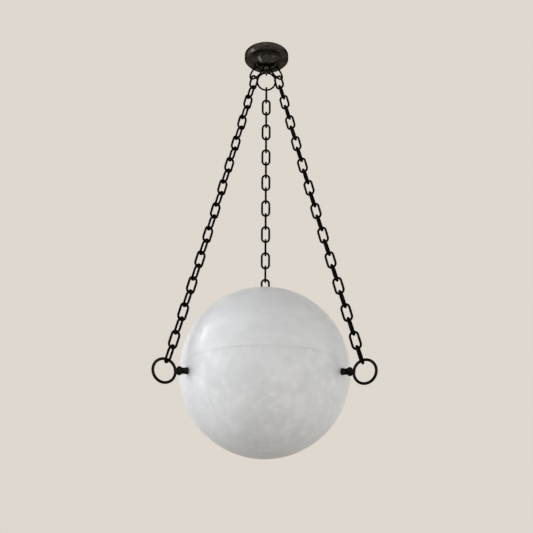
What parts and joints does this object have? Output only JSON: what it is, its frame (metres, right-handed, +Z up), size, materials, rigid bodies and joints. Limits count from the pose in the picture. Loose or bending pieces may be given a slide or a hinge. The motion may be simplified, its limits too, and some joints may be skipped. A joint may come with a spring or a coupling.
{
  "type": "alabaster globe chandelier",
  "caption": "Ceiling chandelier: a split alabaster globe hung on chains from ring bolts, with a round bronze canopy; the upper half lifts for the lamps.",
  "frame": {"origin": "middle of the ceiling bracket's top face, in the ceiling plane", "axes": "+Z up towards the ceiling, -Y towards the viewer of the picture, one chain at the back along +Y"},
  "size_m": [0.5538, 0.5442, 1.2524],
  "materials": {
    "alabaster": "polished, cloudy veined white alabaster",
    "dark_bronze": "satin near-black bronze",
    "zinc_steel": "zinc plated",
    "brass": "plain",
    "porcelain": "glazed",
    "cap_metal": "rolled",
    "opal_glass": "opal",
    "felt": "pressed felt",
    "silicone": "matt"
  },
  "bodies": {
    "canopy": {"ceiling_bracket": "zinc_steel", "canopy_cover": "dark_bronze", "hanging_rod": "brass", "rod_nuts": "dark_bronze", "canopy_screws": "dark_bronze", "earth_screw": "brass", "cable_bush": "silicone", "terminal_block": "porcelain"},
    "hub": {"canopy_hub": "dark_bronze"},
    "back_ring": {"back_top_ring": "dark_bronze"},
    "back_chain": {"back_first_link": "dark_bronze", "back_chain": "dark_bronze", "back_lower_link": "dark_bronze"},
    "back_end": {"back_end_link": "dark_bronze"},
    "left_end": {"left_end_link": "dark_bronze"},
    "left_chain": {"left_lower_link": "dark_bronze", "left_chain": "dark_bronze", "left_first_link": "dark_bronze", "left_top_ring": "dark_bronze"},
    "right_end": {"right_end_link": "dark_bronze"},
    "right_chain": {"right_lower_link": "dark_bronze", "right_chain": "dark_bronze", "right_first_link": "dark_bronze", "right_top_ring": "dark_bronze"},
    "lid": {"globe_lid": "alabaster", "lid_bush": "dark_bronze", "lid_bush_nut": "dark_bronze"},
    "globe": {"globe_bowl": "alabaster", "seam_gasket": "silicone", "outer_felts": "felt", "inner_felts": "felt", "bolt_washers": "zinc_steel", "bolt_nuts": "zinc_steel", "lamp_frame": "zinc_steel", "back_ring_bolt": "dark_bronze", "back_spool_collar": "dark_bronze", "left_ring_bolt": "dark_bronze", "left_spool_collar": "dark_bronze", "right_ring_bolt": "dark_bronze", "right_spool_collar": "dark_bronze", "holder_screws": "zinc_steel", "socket_shells": "brass", "centre_contacts": "brass", "lampholder_1": "porcelain", "bulb_cap_1": "cap_metal", "bulb_glass_1": "opal_glass", "lampholder_2": "porcelain", "bulb_cap_2": "cap_metal", "bulb_glass_2": "opal_glass", "lampholder_3": "porcelain", "bulb_cap_3": "cap_metal", "bulb_glass_3": "opal_glass"}
  },
  "joints": [
    {"name": "hub_turn", "type": "hinge", "parent": "canopy", "child": "hub", "pos_m": [0, 0, -0.0385], "axis": [0, 0, 1], "range_deg": [-60, 60]},
    {"name": "sway_fore_aft", "type": "hinge", "parent": "hub", "child": "back_ring", "pos_m": [0, 0.0277, -0.0484], "axis": [1, 0, 0], "range_deg": [-4, 4]},
    {"name": "sway_sideways", "type": "hinge", "parent": "back_ring", "child": "back_chain", "pos_m": [0, 0.0277, -0.0484], "axis": [0, 1, 0], "range_deg": [-4, 4]},
    {"name": "back_low_fore_aft", "type": "hinge", "parent": "back_chain", "child": "back_end", "pos_m": [0, 0.27897, -1.04192], "axis": [1, 0, 0], "range_deg": [-0.437, 0.437]},
    {"name": "back_low_sideways", "type": "hinge", "parent": "back_end", "child": "globe", "pos_m": [0, 0.27897, -1.04192], "axis": [0, 1, 0], "range_deg": [-0.437, 0.437]},
    {"name": "left_low_sideways", "type": "hinge", "parent": "globe", "child": "left_end", "pos_m": [-0.24159, -0.13948, -1.04192], "axis": [0, 1, 0], "range_deg": [-0.437, 0.437]},
    {"name": "left_low_fore_aft", "type": "hinge", "parent": "left_end", "child": "left_chain", "pos_m": [-0.24159, -0.13948, -1.04192], "axis": [1, 0, 0], "range_deg": [-0.437, 0.437]},
    {"name": "right_low_sideways", "type": "hinge", "parent": "globe", "child": "right_end", "pos_m": [0.24159, -0.13948, -1.04192], "axis": [0, 1, 0], "range_deg": [-0.437, 0.437]},
    {"name": "right_low_fore_aft", "type": "hinge", "parent": "right_end", "child": "right_chain", "pos_m": [0.24159, -0.13948, -1.04192], "axis": [1, 0, 0], "range_deg": [-0.437, 0.437]},
    {"name": "lid_lift", "type": "slide", "parent": "globe", "child": "lid", "axis": [0, 0, 1], "range_m": [0, 0.1]}
  ],
  "couplings": [
    {"joint": "back_low_fore_aft", "follows": "sway_fore_aft", "ratio": -0.099296},
    {"joint": "back_low_sideways", "follows": "sway_sideways", "ratio": -0.099296},
    {"joint": "left_low_sideways", "follows": "sway_sideways", "ratio": 0.099296},
    {"joint": "left_low_fore_aft", "follows": "sway_fore_aft", "ratio": 0.099296},
    {"joint": "right_low_sideways", "follows": "sway_sideways", "ratio": 0.099296},
    {"joint": "right_low_fore_aft", "follows": "sway_fore_aft", "ratio": 0.099296}
  ]
}
